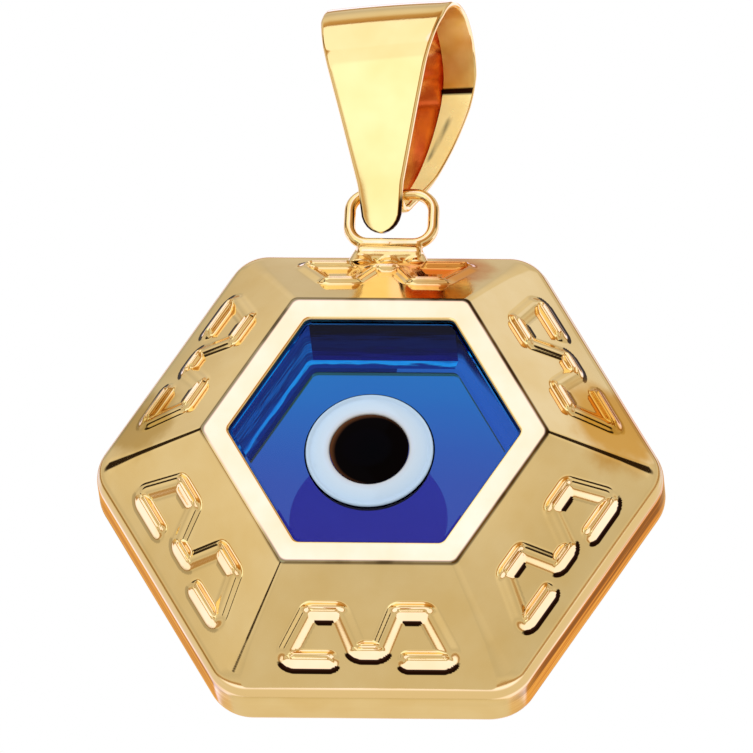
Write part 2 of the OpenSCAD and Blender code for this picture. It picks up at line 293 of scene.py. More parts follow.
def stamp_tree():
    """The die: raises the key on one side, turns the side six times and joins the six."""
    tree = bpy.data.node_groups.new("stamp_case", "GeometryNodeTree")
    tree.is_modifier = True
    widths = ("Bend Radius", "Top Width", "Foot Width", "Stroke Height", "Slant Share", "Lean", "Waviness")
    wanted = [("Geometry", "Geometry"), ("Key Line", "Object")]
    wanted += [(name, "Float") for name in widths]
    wanted += [("Down The Panel", "Vector"), ("Middle", "Vector"), ("Gold", "Material")]
    for name, kind in wanted:
        tree.interface.new_socket(name, in_out="INPUT", socket_type="NodeSocket" + kind)
    tree.interface.new_socket("Geometry", in_out="OUTPUT", socket_type="NodeSocketGeometry")
    given = add_node(tree, "NodeGroupInput").outputs

    # How far each point lies from the key's line
    line = add_node(tree, "GeometryNodeObjectInfo", transform_space="RELATIVE", Object=given["Key Line"])
    bent = add_node(tree, "GeometryNodeFilletCurve", mode="POLY", Curve=line.outputs["Geometry"])
    fill(tree, bent, Count=7, Radius=given["Bend Radius"], Limit_Radius=True)
    wire = outcome(tree, "GeometryNodeCurveToMesh", Curve=bent.outputs[0])
    near = add_node(tree, "GeometryNodeProximity", target_element="EDGES")
    tree.links.new(wire, near.inputs[0])
    far = near.outputs["Distance"]

    # The height there: a narrow top, smooth flanks, and nothing beyond the stroke's foot
    foot = times(tree, given["Foot Width"], 0.5)
    top = times(tree, given["Top Width"], 0.5)
    height = span(tree, far, foot, top, high=given["Stroke Height"], smooth=True)
    on_panel = outcome(tree, "GeometryNodeInputNamedAttribute", data_type="FLOAT", Name="panel_face")
    lift = times(tree, height, on_panel)

    # The slanting strokes stand lower than the bars
    here = outcome(tree, "GeometryNodeInputPosition")
    away = vector_maths(tree, "SUBTRACT", here, near.outputs["Position"])
    below = vector_maths(tree, "DOT_PRODUCT", away, given["Down The Panel"])
    side_share = maths(tree, "DIVIDE", below, far)
    slant, upright = 0.5, 0.9
    steepness = maths(tree, "ABSOLUTE", side_share)
    bar = span(tree, steepness, slant, upright, low=given["Slant Share"], smooth=True)
    lift = times(tree, lift, bar)

    # Painted shade: a dark line along the stroke's foot on the rim's side
    painted_shade_full, painted_shade_end = 0.05 * mm, 0.12 * mm
    rim_side = span(tree, side_share, 0.25, 0.75, smooth=True)
    off_foot = maths(tree, "ABSOLUTE", maths(tree, "SUBTRACT", far, foot))
    band = span(tree, off_foot, painted_shade_end, painted_shade_full, smooth=True)
    crease = times(tree, times(tree, band, rim_side), on_panel)
    marked = add_node(tree, "GeometryNodeStoreNamedAttribute", Geometry=given["Geometry"])
    fill(tree, marked, Name="crease", Value=crease)
    leaning = vector_maths(tree, "SCALE", given["Down The Panel"], scale=given["Lean"])
    normal = outcome(tree, "GeometryNodeInputNormal")
    offset = vector_maths(tree, "SCALE", vector_maths(tree, "ADD", normal, leaning), scale=lift)
    pressed = outcome(tree, "GeometryNodeSetPosition", Geometry=marked.outputs[0], Offset=offset)

    # Six sides round the window's axis
    to_axis = vector_maths(tree, "SCALE", given["Middle"], scale=-1.0)
    back = outcome(tree, "GeometryNodeTransform", Geometry=pressed, Translation=to_axis)
    places = outcome(tree, "GeometryNodePoints", Count=6, Position=given["Middle"])
    step = times(tree, outcome(tree, "GeometryNodeInputIndex"), math.radians(60))
    turn = outcome(tree, "FunctionNodeEulerToRotation", Euler=outcome(tree, "ShaderNodeCombineXYZ", Y=step))
    six = outcome(tree, "GeometryNodeInstanceOnPoints", Points=places, Instance=back, Rotation=turn)
    real = outcome(tree, "GeometryNodeRealizeInstances", Geometry=six)
    joined = outcome(tree, "GeometryNodeMergeByDistance", Geometry=real, Distance=0.002 * mm)

    # Thin pressed sheet is never quite even
    uneven = wandering(tree, given["Waviness"], Scale=330.0, Detail=1.0, Roughness=0.4)
    offset = vector_maths(tree, "SCALE", normal, scale=uneven)
    wavy = outcome(tree, "GeometryNodeSetPosition", Geometry=joined, Offset=offset)
    smooth = outcome(tree, "GeometryNodeSetShadeSmooth", Geometry=wavy)
    gilt = outcome(tree, "GeometryNodeSetMaterial", Geometry=smooth, Material=given["Gold"])
    add_node(tree, "NodeGroupOutput", Geometry=gilt)
    return tree


def object_place(tree):
    """The place on the object, which the patterns keep to when it moves."""
    return tree.nodes.new("ShaderNodeTexCoord").outputs["Object"]


def handling_group():
    """What handling leaves on polish: a mottled tone, patches of haze and hair scratches."""
    tree = bpy.data.node_groups.new("handling", "ShaderNodeTree")
    tree.interface.new_socket("Mottle Size", in_out="INPUT", socket_type="NodeSocketFloat")
    for name in ("Tone", "Haze", "Relief"):
        tree.interface.new_socket(name, in_out="OUTPUT", socket_type="NodeSocketFloat")
    given = add_node(tree, "NodeGroupInput").outputs
    place = object_place(tree)
    hairs = outcome(tree, "ShaderNodeMapping", Vector=place, Rotation=(0.3, 0.9, 0.5), Scale=(1, 14, 3))
    mottle, hair = given["Mottle Size"], 0.5 * mm
    # Columns: what it marks, where it is taken, repeats in a size, the size, detail, roughness
    marks = [
        ("Tone", place, 1.0, mottle, 3.0, 0.55),
        ("Haze", place, 2.6, mottle, 2.0, 0.7),
        ("Relief", hairs, 1.0, hair, 4.0, 0.75),
    ]
    out = add_node(tree, "NodeGroupOutput")
    for name, where, repeats, size, detail, rough in marks:
        often = maths(tree, "DIVIDE", repeats, size)
        looks = {"Vector": where, "Scale": often, "Detail": detail, "Roughness": rough}
        tree.links.new(outcome(tree, "ShaderNodeTexNoise", **looks), out.inputs[name])
    return tree


def new_material(name):
    """A material, its nodes, its Principled shader and the place on the object."""
    material = bpy.data.materials.new(name)
    material.use_nodes = True
    tree = material.node_tree
    return material, tree, tree.nodes["Principled BSDF"], object_place(tree)


handling = handling_group()


def ramp(tree, value, stops):
    """A colour ramp with the given stops of place and colour."""
    node = tree.nodes.new("ShaderNodeValToRGB")
    elements = node.color_ramp.elements
    while len(elements) < len(stops):
        elements.new(1.0)
    for element, (place, colour) in zip(elements, stops):
        element.position = place
        element.color = (*colour, 1)
    tree.links.new(value, node.inputs[0])
    return node.outputs[0]


def mixed(tree, share, under, over):
    """One colour laid over another by a share."""
    node = add_node(tree, "ShaderNodeMix", data_type="RGBA")
    feed(tree, (node.inputs[0], node.inputs[6], node.inputs[7]), (share, under, over))
    return node.outputs[2]


def carried(tree, name):
    """A value that the mesh carries at its points, or zero where it carries none."""
    return add_node(tree, "ShaderNodeAttribute", attribute_name=name).outputs["Fac"]


# Painted reflections: bands of brown and orange on the rim, and the gold between them
painted_rim_reflections = [
    (0.36, (0.22, 0.06, 0.01)),
    (0.45, (0.75, 0.36, 0.08)),
    (0.52, (1.0, 0.75, 0.36)),
    (0.6, (0.6, 0.24, 0.05)),
]
shoulder_shade_tone = (0.6, 0.42, 0.12, 1)
painted_shade_tone = (0.02, 0.006, 0.002, 1)


def polished_gold(name, deep, light, haze, mottle_size, relief):
    """Polished yellow gold between two tones, with handling marks at their real size, and painted reflections
    and shade where the mesh marks them.
    """
    material, tree, shader, place = new_material(name)
    marks = add_node(tree, "ShaderNodeGroup", node_tree=handling, Mottle_Size=mottle_size).outputs
    colour = ramp(tree, marks["Tone"], [(0.3, deep), (0.7, light)])
    apart = add_node(tree, "ShaderNodeSeparateXYZ", Vector=place).outputs

    # Painted reflections in streaks run round the rim and show on its slanting sides
    lines = outcome(tree, "ShaderNodeMapping", Vector=place, Scale=(60.0, 2600.0, 60.0))
    reflection_streaks = outcome(tree, "ShaderNodeTexNoise", Vector=lines, Scale=1.0, Detail=2.0)
    reflected_stripes = ramp(tree, reflection_streaks, painted_rim_reflections)
    off_middle = maths(tree, "ABSOLUTE", apart["X"])
    slanting = span(tree, off_middle, 4.6 * mm, 6.2 * mm, low=0.03, smooth=True)
    colour = mixed(tree, times(tree, carried(tree, "rim"), slanting), colour, reflected_stripes)
    # Painted shade darkens the rim's shoulder
    colour = mixed(tree, carried(tree, "shoulder"), colour, shoulder_shade_tone)

    # Painted shade: dark lines at the strokes' feet and along the face's edge, fainter on the lower left side
    foot_line = span(tree, carried(tree, "crease"), 0.3, 0.65, smooth=True)
    patches = span(tree, marks["Tone"], 0.38, 0.56, low=0.97, high=0.72)
    edge_line = times(tree, carried(tree, "face_edge"), patches)
    lower = span(tree, apart["Z"], window.z, window.z - 0.6 * mm)
    left = span(tree, apart["X"], -3.2 * mm, -4.0 * mm, high=0.7)
    shown = maths(tree, "SUBTRACT", 1.0, times(tree, lower, left))
    dark_line = times(tree, maths(tree, "MAXIMUM", foot_line, edge_line), shown)
    colour = mixed(tree, dark_line, colour, painted_shade_tone)
    rough = span(tree, marks["Haze"], 0.35, 0.75, *haze)
    bump = outcome(tree, "ShaderNodeBump", Strength=relief, Distance=0.01 * mm, Height=marks["Relief"])
    fill(tree, shader, Base_Color=colour, Metallic=1.0, Roughness=rough, Normal=bump)
    return material


case_gold = polished_gold("case_gold", (0.93, 0.67, 0.27), (1.0, 0.77, 0.37), (0.05, 0.11), 2.4 * mm, 0.06)


def painted_shade_patches(material, places):
    """Painted shade: darker, redder gold in soft ragged patches."""
    tree = material.node_tree
    colour_socket = tree.nodes["Principled BSDF"].inputs["Base Color"]
    place = object_place(tree)
    ragged = wandering(tree, 1.6 * mm, Vector=place, Scale=900.0, Detail=3.0)
    for centre, reach, strength, colour in places:
        away = vector_maths(tree, "DISTANCE", place, window + centre)
        distance = maths(tree, "ADD", away, ragged)
        cover = span(tree, distance, reach, reach * 0.5, high=strength, smooth=True)
        before = colour_socket.links[0].from_socket
        tree.links.new(mixed(tree, cover, before, (*colour, 1)), colour_socket)


# Columns: place from the window's middle, reach, strength, colour
shade_patch_places = [
    (Vector((2.1, 2.0, 7.5)) * mm, 2.1 * mm, 0.85, (0.74, 0.26, 0.02)),
    (Vector((8.2, 2.3, 1.5)) * mm, 2.4 * mm, 0.88, (0.7, 0.33, 0.02)),
    (Vector((-8.4, 2.2, 1.5)) * mm, 2.0 * mm, 0.8, (0.6, 0.36, 0.06)),
]
painted_shade_patches(case_gold, shade_patch_places)
stamp_inputs = {
    "Key Line": key_object,
    "Bend Radius": 0.24 * mm,
    "Top Width": 0.1 * mm,
    "Foot Width": 0.8 * mm,
    "Stroke Height": 0.24 * mm,
    "Slant Share": 0.45,
    "Lean": -0.85,
    "Waviness": 0.014 * mm,
    "Down The Panel": tuple(panel_way),
    "Middle": tuple(window),
    "Gold": case_gold,
}


def settled(source):
    """The mesh that an object's modifiers make of it. They are taken off."""
    bpy.context.view_layer.update()
    made = source.evaluated_get(bpy.context.evaluated_depsgraph_get())
    mesh = bpy.data.meshes.new_from_object(made)
    source.modifiers.clear()
    return mesh


def finished(source, tree, inputs, name):
    """Runs a Geometry Nodes tree on an object and returns its result as a plain object."""
    modifier = source.modifiers.new("nodes", "NODES")
    modifier.node_group = tree
    for item in tree.interface.items_tree:
        if item.in_out == "INPUT" and item.name in inputs:
            modifier[item.identifier] = inputs[item.name]
    mesh = settled(source)
    bpy.data.objects.remove(source)
    mesh.name = name
    return placed(name, mesh)


case = finished(side, stamp_tree(), stamp_inputs, "stamped_case")
bpy.data.objects.remove(key_object)
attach(case, "pendant")
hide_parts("case")

# The hanging loop
# A round gold wire bent into a loop, and a short bar under it. Both are soldered to
# the rim, and the solder has run into soft fillets, so they are fused into one skin.
wire_z = frame["joints"][0]["pos_m"][2]
wire_r = 0.21 * mm
loop_half_width = 1.49 * mm
loop_half_height = 1.01 * mm
loop_bend = 0.7 * mm
bar_r = 0.42 * mm
bar_half = 1.15 * mm
bar_z = window.z + 8.79 * mm
shop = 1000.0  # the remesh works at this many times the real size


def skin_faces(rows, sides, closed):
    """Faces round rows of points. The two ends are capped, or meet if the skin is closed."""
    last = rows if closed else rows - 1
    faces = []
    for k in range(last):
        here, below = k * sides, (k + 1) % rows * sides
        for j in range(sides):
            after = (j + 1) % sides
            faces.append((here + j, here + after, below + after, below + j))
    if not closed:
        faces.append(tuple(range(sides))[::-1])
        faces.append(tuple(range(last * sides, (last + 1) * sides)))
    return faces


def tube(path, radius, sides=20, closed=True):
    """Points and faces of a round tube along a closed path, or one with flat ends."""
    path = np.array(path, float)
    ahead = np.roll(path, -1, 0) - np.roll(path, 1, 0)
    if not closed:
        ahead[0], ahead[-1] = path[1] - path[0], path[-1] - path[-2]
    ahead /= np.linalg.norm(ahead, axis=1)[:, None]
    side_way = np.cross(ahead, [0, 1, 0])
    side_way /= np.linalg.norm(side_way, axis=1)[:, None]
    up = np.cross(side_way, ahead)
    turns = np.linspace(0, 2 * math.pi, sides, endpoint=False)
    radius = np.broadcast_to(radius, len(path))
    points = []
    for at, r, out, over in zip(path, radius, side_way, up):
        points += [at + r * (math.cos(a) * out + math.sin(a) * over) for a in turns]
    return points, skin_faces(len(path), sides, closed)


def joined_parts(parts):
    """Points and faces of several parts, as one."""
    points, faces, start = [], [], 0
    for part_points, part_faces in parts:
        points.extend(part_points)
        faces.extend(tuple(start + k for k in face) for face in part_faces)
        start += len(part_points)
    return points, faces


loop_path = []
for quarter in range(4):
    turns = np.radians(np.linspace(0, 90, 11) + 90 * quarter)
    right = 1 if quarter in (0, 3) else -1
    upper = 1 if quarter in (0, 1) else -1
    centre = np.array([right * (loop_half_width - loop_bend), upper * (loop_half_height - loop_bend)])
    arc = centre + loop_bend * np.column_stack([np.cos(turns), np.sin(turns)])
    loop_path.extend((x, 0, wire_z - loop_half_height + z) for x, z in arc)

bar_ends = [-1.0, -0.96, -0.86, -0.5, 0, 0.5, 0.86, 0.96, 1.0]
bar_path = [(share * bar_half, 0, bar_z) for share in bar_ends]
bar_radii = bar_r * np.array([0.72, 0.93, 1.0, 1.0, 0.98, 1.0, 1.0, 0.93, 0.72])
# Solder that has run out at the foot. Columns: place along the bar, reach, height over the bar.
solder_feet = np.array([[-1.02, 0.6, 0.34], [0.98, 0.56, 0.26], [0.0, 0.56, 0.2]]) * mm
solder_depth = 0.05 * mm
wires = [tube(loop_path, wire_r), tube(bar_path, bar_radii, 28, False)]
for x, reach, high in solder_feet:
    foot_to_top = [(x, solder_depth, bar_z - 0.5 * mm), (x, solder_depth, bar_z + high)]
    wires.append(tube(foot_to_top, [reach, 0.3 * reach], 24, False))
hanger_points, hanger_faces = joined_parts(wires)
hanger = new_mesh("hanging_loop", np.array(hanger_points) * shop, hanger_faces)
fuse = hanger.modifiers.new("fuse", "REMESH")
fuse.mode = "VOXEL"
fuse.voxel_size = 0.045
fuse.use_smooth_shade = True
flow = hanger.modifiers.new("flow", "SMOOTH")
flow.factor = 0.5
flow.iterations = 5
hanger.data = settled(hanger)
hanger.data.transform(Matrix.Scale(1 / shop, 4))
loop_gold = polished_gold("loop_gold", (0.9, 0.62, 0.24), (1.0, 0.76, 0.36), (0.07, 0.16), 0.9 * mm, 0.1)
hanger.data.materials.append(loop_gold)
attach(hanger, "pendant")
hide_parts("case")

# The blue glass
# A block of clear cobalt glass as wide as the case's inside allows. Its front stands
# up into the window and it has a polished back. Its dull sides, back edge and the
# band round the plate's opening glow with painted shade and highlights.
glass_low, glass_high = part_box("blue_glass")
ring_low, ring_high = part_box("white_ring")
pupil_low, pupil_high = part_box("pupil")
eye = Vector(((ring_low.x + ring_high.x) / 2, 0, (ring_low.z + ring_high.z) / 2))
running_gap = 0.05 * mm
glass_front = glass_low.y
glass_back = glass_high.y
block_flat = window.z - glass_low.z
boss_flat = window_flat - running_gap
shelf_y = face_y + wall + running_gap
ring_r = (ring_high.x - ring_low.x) / 2
socket_r = ring_r + running_gap
socket_floor = ring_high.y + running_gap
back_bevel = 0.22 * mm


def hexagon(flat, y, rounding=window_rounding):
    """A whole rounded hexagon round the window's axis, at one depth."""
    x, z = hexagon_side(flat, rounding, np.linspace(-1, 1, 13), 4)
    x, z = x[:-1], z[:-1]
    sixths = []
    for k in range(6):
        a = math.radians(60 * k)
        turned_x = x * math.cos(a) - z * math.sin(a)
        turned_z = x * math.sin(a) + z * math.cos(a)
        sixths.append(np.column_stack([turned_x, 0 * x, turned_z]))
    return np.concatenate(sixths) + [window.x, y, window.z]


rim_outline = hexagon(boss_flat - 0.06 * mm, glass_front)
rim_angles = np.arctan2(rim_outline[:, 2] - eye.z, rim_outline[:, 0] - eye.x)


def circle(radius, y, angles=rim_angles):
    """A circle round the eye, with a point under each of the glass's rim if not told otherwise."""
    x = eye.x + radius * np.cos(angles)
    z = eye.z + radius * np.sin(angles)
    return np.column_stack([x, np.full(len(angles), y), z])


def loft(name, rings, closed=False, smooth=True):
    """A mesh through rings of points. Its two ends are capped, or meet if it is closed."""
    return new_mesh(name, np.concatenate(rings), skin_faces(len(rings), len(rings[0]), closed), smooth)


opening_flat = 5.1 * mm * math.cos(math.radians(30))
plate_seen_flat = opening_flat - 0.02 * mm
glass_rings = [
    circle(socket_r, socket_floor),
    circle(socket_r, glass_front + 0.02 * mm),
    circle(socket_r + 0.005 * mm, glass_front),
    circle(socket_r + 0.06 * mm, glass_front),
    hexagon(boss_flat - 0.1 * mm, glass_front),
    rim_outline,
    hexagon(boss_flat, glass_front + 0.05 * mm),
    hexagon(boss_flat, shelf_y),
    hexagon(block_flat - 0.04 * mm, shelf_y),
    hexagon(block_flat, shelf_y + 0.04 * mm),
    hexagon(block_flat, glass_back - back_bevel),
    hexagon(block_flat - back_bevel, glass_back),
    hexagon(plate_seen_flat, glass_back),
]
glass = loft("cobalt_block", [ring[::-1] for ring in glass_rings], smooth=False)


def cobalt_glass():
    """Clear cobalt glass: greener towards the top, more violet below."""
    material, tree, shader, place = new_material("cobalt_glass")
    height = add_node(tree, "ShaderNodeSeparateXYZ", Vector=place).outputs["Z"]
    swirl = wandering(tree, 1.6 * mm, Vector=place, Scale=180.0, Detail=1.0)
    level = span(tree, maths(tree, "ADD", height, swirl), window.z - boss_flat, window.z + boss_flat)
    violet, blue, green_blue = (0.042, 0.075, 0.38), (0.024, 0.11, 0.45), (0.016, 0.17, 0.52)
    colour = ramp(tree, level, [(0.25, violet), (0.6, blue), (0.85, green_blue)])
    fill(tree, shader, Base_Color=colour, Transmission_Weight=1.0, Roughness=0.01, IOR=1.2)
    return material


def painted_glow_glass(name, stops, streak, stray, glow, lower=0.0):
    """Dull glass painted with glowing light and shade: its blue changes from front to back, in streaks along
    the cut.
    """
    material, tree, shader, place = new_material(name)
    apart = add_node(tree, "ShaderNodeSeparateXYZ", Vector=place).outputs
    cut = outcome(tree, "ShaderNodeMapping", Vector=place, Scale=(1.0, 9.0, 1.0))
    wander = wandering(tree, stray, Vector=cut, Scale=1 / streak, Detail=3.0)
    depth = span(tree, apart["Y"], shelf_y, glass_back)
    fall = span(tree, apart["Z"], window.z + boss_flat, window.z, high=lower)
    stepped = maths(tree, "ADD", depth, fall)
    colour = ramp(tree, maths(tree, "ADD", stepped, wander), stops)
    fill(tree, shader, Base_Color=colour, Roughness=0.6, Specular_IOR_Level=0.0)
    fill(tree, shader, Emission_Color=colour, Emission_Strength=glow)
    return material


# Painted shade and light of each dull face, from its front to its back
side_shade_stops = [
    (0.36, (0.0, 0.0, 0.001)),
    (0.44, (0.003, 0.01, 0.06)),
    (0.58, (0.007, 0.022, 0.12)),
    (0.7, (0.004, 0.01, 0.07)),
    (0.88, (0.035, 0.02, 0.24)),
]
lit_stops = [
    (0.2, (0.008, 0.03, 0.15)),
    (0.4, (0.02, 0.09, 0.32)),
    (0.55, (0.01, 0.04, 0.18)),
    (0.72, (0.03, 0.3, 0.6)),
    (0.84, (0.012, 0.05, 0.2)),
    (1.0, (0.02, 0.16, 0.42)),
]
bevel_highlight_stops = [
    (0.93, (0.01, 0.08, 0.3)),
    (0.955, (0.03, 0.55, 0.85)),
    (0.968, (0.06, 0.7, 0.95)),
    (0.98, (0.01, 0.06, 0.25)),
]
right_shade_stops = [(0.5, (0.0, 0.0, 0.001)), (0.75, (0.003, 0.012, 0.08)), (0.95, (0.11, 0.26, 0.54))]
shadow_stops = [(0.9, (0.004, 0.02, 0.1)), (1.0, (0.01, 0.05, 0.2))]
light_stops = [(0.0, (0.09, 0.22, 0.46)), (1.0, (0.09, 0.22, 0.46))]
glass_kinds = {
    "clear": cobalt_glass(),
    "side": painted_glow_glass("painted_side_shade", side_shade_stops, streak=1.1 * mm, stray=0.5, glow=0.5),
    "bevel": painted_glow_glass("painted_bevel_highlight", bevel_highlight_stops, streak=1.2 * mm, stray=0.08, glow=0.9),
    "left": painted_glow_glass("painted_left_side_light", lit_stops, streak=1.3 * mm, stray=0.7, glow=0.7, lower=0.15),
    "right": painted_glow_glass("painted_right_side_shade", right_shade_stops, streak=2.0 * mm, stray=0.2, glow=0.95, lower=0.8),
    "shadow": painted_glow_glass("plate_shadow", shadow_stops, streak=1.5 * mm, stray=0.1, glow=0.6),
    "light": painted_glow_glass("plate_light", light_stops, streak=1.5 * mm, stray=0.1, glow=1.0),
}
for kind in glass_kinds.values():
    glass.data.materials.append(kind)
# Which of the bands between two rings is which face, counted from the socket's floor
socket_bands, edge_bands, bevel_band, plate_band = (0, 1, 2), (7, 8, 9), 10, 11
side_from, shadow_until = 2.4 * mm, 0.6 * mm
for k, polygon in enumerate(glass.data.polygons):
    band = k // len(glass_rings[0])
    x = polygon.center.x
    upper = polygon.center.z > window.z - 0.3 * mm
    kind = "clear"
    if band in socket_bands:
        kind = "side"
    elif band in (*edge_bands, bevel_band) and upper and x > side_from:
        kind = "right"
    elif band in edge_bands:
        kind = "left" if upper and x < -side_from else "side"
    elif band == bevel_band:
        kind = "bevel"
    elif band == plate_band:
        kind = "light" if x > shadow_until or not upper else "shadow"
    polygon.material_index = list(glass_kinds).index(kind)
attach(glass, "pendant")
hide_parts("blue_glass")

# The eye's painted shadow
# A cone of darker violet glass stands for the eye's shadow seen through the block. It starts
# under the white ring, widens and drifts down towards the back of the block, and shows below the ring.
shadow_front_r = 1.5 * mm
shadow_back_r = 2.8 * mm
shadow_front = socket_floor + 0.04 * mm
shadow_back = glass_back - 0.08 * mm
shadow_drift = np.array([-0.2, 0, -0.9]) * mm
shadow_shares = (0.0, 0.15, 0.3, 0.45, 0.6, 0.72, 0.84, 0.93, 1.0)
shadow_flare = 1.3
shadow_rings = []
for share in shadow_shares:
    radius = shadow_front_r + (shadow_back_r - shadow_front_r) * share**shadow_flare
    depth = shadow_front + (shadow_back - shadow_front) * share
    shadow_rings.append(circle(radius, depth) + shadow_drift * share**shadow_flare)
eye_shadow = loft("eye_root", [ring[::-1] for ring in shadow_rings])
eye_shadow_glass, shadow_tree, shadow_shader, shadow_place = new_material("painted_eye_shadow_glass")
shadow_swirl = outcome(shadow_tree, "ShaderNodeTexNoise", Vector=shadow_place, Scale=260.0, Detail=2.0)
shadow_tone = ramp(shadow_tree, shadow_swirl, [(0.3, (0.5, 0.26, 0.68)), (0.7, (0.58, 0.34, 0.76))])
fill(shadow_tree, shadow_shader, Base_Color=shadow_tone, Transmission_Weight=1.0, Roughness=0.0, IOR=1.0)
eye_shadow.data.materials.append(eye_shadow_glass)
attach(eye_shadow, "pendant")

# The white ring
# Milk-white glass, laid on hot and fire polished, so that it swells a little in the
# middle of its width and rolls over at both edges. It sits in a socket of the block.
pupil_r = (pupil_high.x - pupil_low.x) / 2
dome_height = glass_front - pupil_low.y
dome_r = (ring_r**2 + dome_height**2) / (2 * dome_height)


def dome_y(radius):
    """Where the eye's dome stands at a distance from its middle."""
    return glass_front - (math.sqrt(dome_r**2 - radius**2) - (dome_r - dome_height))


def turned(name, profile, closed, segments=128):
    """A shape turned round the eye's axis, from rows of radius and depth."""
    angles = np.linspace(0, 2 * math.pi, segments, endpoint=False)
    return loft(name, [circle(radius, y, angles) for radius, y in profile], closed)


ring_inner = pupil_r + running_gap
roll = 0.09 * mm
lip_r = ring_r + 0.056 * mm
rolled_from = glass_front - 0.03 * mm
ring_profile = [
    (ring_r, ring_high.y),
    (ring_r, glass_front - 0.006 * mm),
    (lip_r, glass_front - 0.008 * mm),
]
for a in np.radians(np.linspace(0, 80, 6)):
    ring_profile.append((lip_r - roll + roll * math.cos(a), rolled_from - roll * math.sin(a)))
most_swell = 0.035 * mm
for share in np.linspace(0.12, 0.9, 9):
    radius = ring_r + (ring_inner - ring_r) * share
    ring_profile.append((radius, dome_y(radius) - most_swell * math.sin(math.pi * share)))
edge = 0.07 * mm
edge_r, edge_y = ring_inner + edge, dome_y(ring_inner) + edge
for a in np.radians(np.linspace(25, 90, 4)):
    ring_profile.append((edge_r - edge * math.sin(a), edge_y - edge * math.cos(a)))
ring_profile.append((ring_inner, ring_high.y))
white_ring = turned("white_ring_glass", ring_profile, closed=True)


def fired_glass(name, stops, reach, mottle, gloss, middle=eye):
    """Opaque glass whose colour changes from a point near the eye's middle outwards."""
    material, tree, shader, place = new_material(name)
    from_eye = vector_maths(tree, "SUBTRACT", place, middle)
    away = vector_maths(tree, "LENGTH", vector_maths(tree, "MULTIPLY", from_eye, (1, 0, 1)))
    patchy = wandering(tree, mottle, Vector=place, Scale=900.0, Detail=2.0)
    share = maths(tree, "DIVIDE", maths(tree, "ADD", away, patchy), reach)
    fill(tree, shader, Base_Color=ramp(tree, share, stops), Roughness=0.05, Specular_IOR_Level=gloss)
    return material


# The grey brown at the ring's inner edge is painted shade.
milk_stops = [
    (0.62, (0.42, 0.36, 0.3)),
    (0.68, (0.6, 0.66, 0.7)),
    (0.74, (0.62, 0.74, 0.86)),
    (0.97, (0.55, 0.72, 0.9)),
]
milk_glass = fired_glass("milk_glass", milk_stops, reach=ring_r, mottle=0.12 * mm, gloss=0.5)
white_ring.data.materials.append(milk_glass)
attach(white_ring, "pendant")
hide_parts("white_ring")

# The pupil
# A drop of brown-black glass in the middle of the ring, fire polished to a low dome,
# with a painted amber-brown sheen at its edge, broadest at the upper left.
pupil_profile = [(0.02 * mm, dome_y(0.02 * mm))]
for share in np.linspace(0.12, 0.94, 9):
    pupil_profile.append((pupil_r * share, dome_y(pupil_r * share)))
pupil_edge = 0.04 * mm
pupil_edge_y = dome_y(pupil_r)
for a in np.radians(np.linspace(15, 90, 5)):
    pupil_profile.append((pupil_r + pupil_edge * math.sin(a), pupil_edge_y + pupil_edge * (1 - math.cos(a))))
pupil_profile.append((pupil_r, pupil_edge_y + 2 * pupil_edge))
pupil_profile.append((pupil_r, pupil_high.y))
pupil = turned("pupil_glass", pupil_profile[::-1], closed=False)
black_stops = [(0.0, (0.001, 0.001, 0.001)), (0.88, (0.002, 0.001, 0.001)), (1.0, (0.11, 0.04, 0.015))]
sheen_off_centre = eye + Vector((0.11 * mm, 0, -0.08 * mm))
black_reach = pupil_r + 0.13 * mm
black_glass = fired_glass("brown_black_glass", black_stops, black_reach, 0.08 * mm, 0.01, sheen_off_centre)
pupil.data.materials.append(black_glass)
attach(pupil, "pendant")
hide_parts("pupil")

# The back plate
# A thin flat sheet of gold with a hexagonal opening, dropped in behind the glass and
# held by the rim's turned lip. Its cut edges are broken with a file.
plate_flat = rim_inner - running_gap
plate_rounding = rim_rounding - 0.2 * mm
file_cut = 0.05 * mm
plate_rings = [
    hexagon(plate_flat, plate_low.y + file_cut, plate_rounding),
    hexagon(plate_flat - file_cut, plate_low.y, plate_rounding),
    hexagon(opening_flat + file_cut, plate_low.y),
    hexagon(opening_flat, plate_low.y + file_cut),
    hexagon(opening_flat, plate_high.y - file_cut),
    hexagon(opening_flat + file_cut, plate_high.y),
    hexagon(plate_flat - file_cut, plate_high.y, plate_rounding),
    hexagon(plate_flat, plate_high.y - file_cut, plate_rounding),
]
plate = loft("gold_back_plate", plate_rings, closed=True, smooth=False)
plate_gold = polished_gold("plate_gold", (0.9, 0.65, 0.28), (1.0, 0.78, 0.4), (0.12, 0.24), 1.8 * mm, 0.25)
plate.data.materials.append(plate_gold)
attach(plate, "pendant")
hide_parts("back_plate")

# The bail
# A tapered strip of gold folded over for the chain. The front leaf is straight and
# ends in a round tongue; the back leaf curves round the loop's wire and is soldered
# to the front one. The strip's outside is slightly crowned and its edges are rolled.
strip_t = 0.3 * mm
bend_inside = 2.35 * mm
seat_r = 0.57 * mm
seat_drop = 4.64 * mm
bail_turn = math.radians(-12)
bail_lean = math.radians(2)
bend_centre = np.array([0.0, -bend_inside])
seat_centre = bend_centre + [0, -seat_drop]
leaf_lean = math.asin((bend_inside - seat_r) / seat_drop)
back_arc_r = (bend_inside**2 + seat_drop**2 - seat_r**2) / (2 * (bend_inside - seat_r))
back_centre = bend_centre + [bend_inside - back_arc_r, 0]
# Columns: height, width of the strip there
strip_heights = np.array([-8.76, -8.01, -7.14, -4.745, -2.35, -1.16, 0.3]) * mm
strip_widths = np.array([1.5, 1.5, 1.686, 2.85, 4.06, 4.56, 4.75]) * mm
tongue_tip_z = strip_heights[0]


def arc_of(centre, radius, start, end, steps):
    """Rows of Y, Z and the outward way along an arc, between two angles in degrees."""
    angles = np.radians(np.linspace(start, end, steps + 1))
    ways = np.column_stack([np.cos(angles), np.sin(angles)])
    return [(*(centre + radius * way), *way) for way in ways]


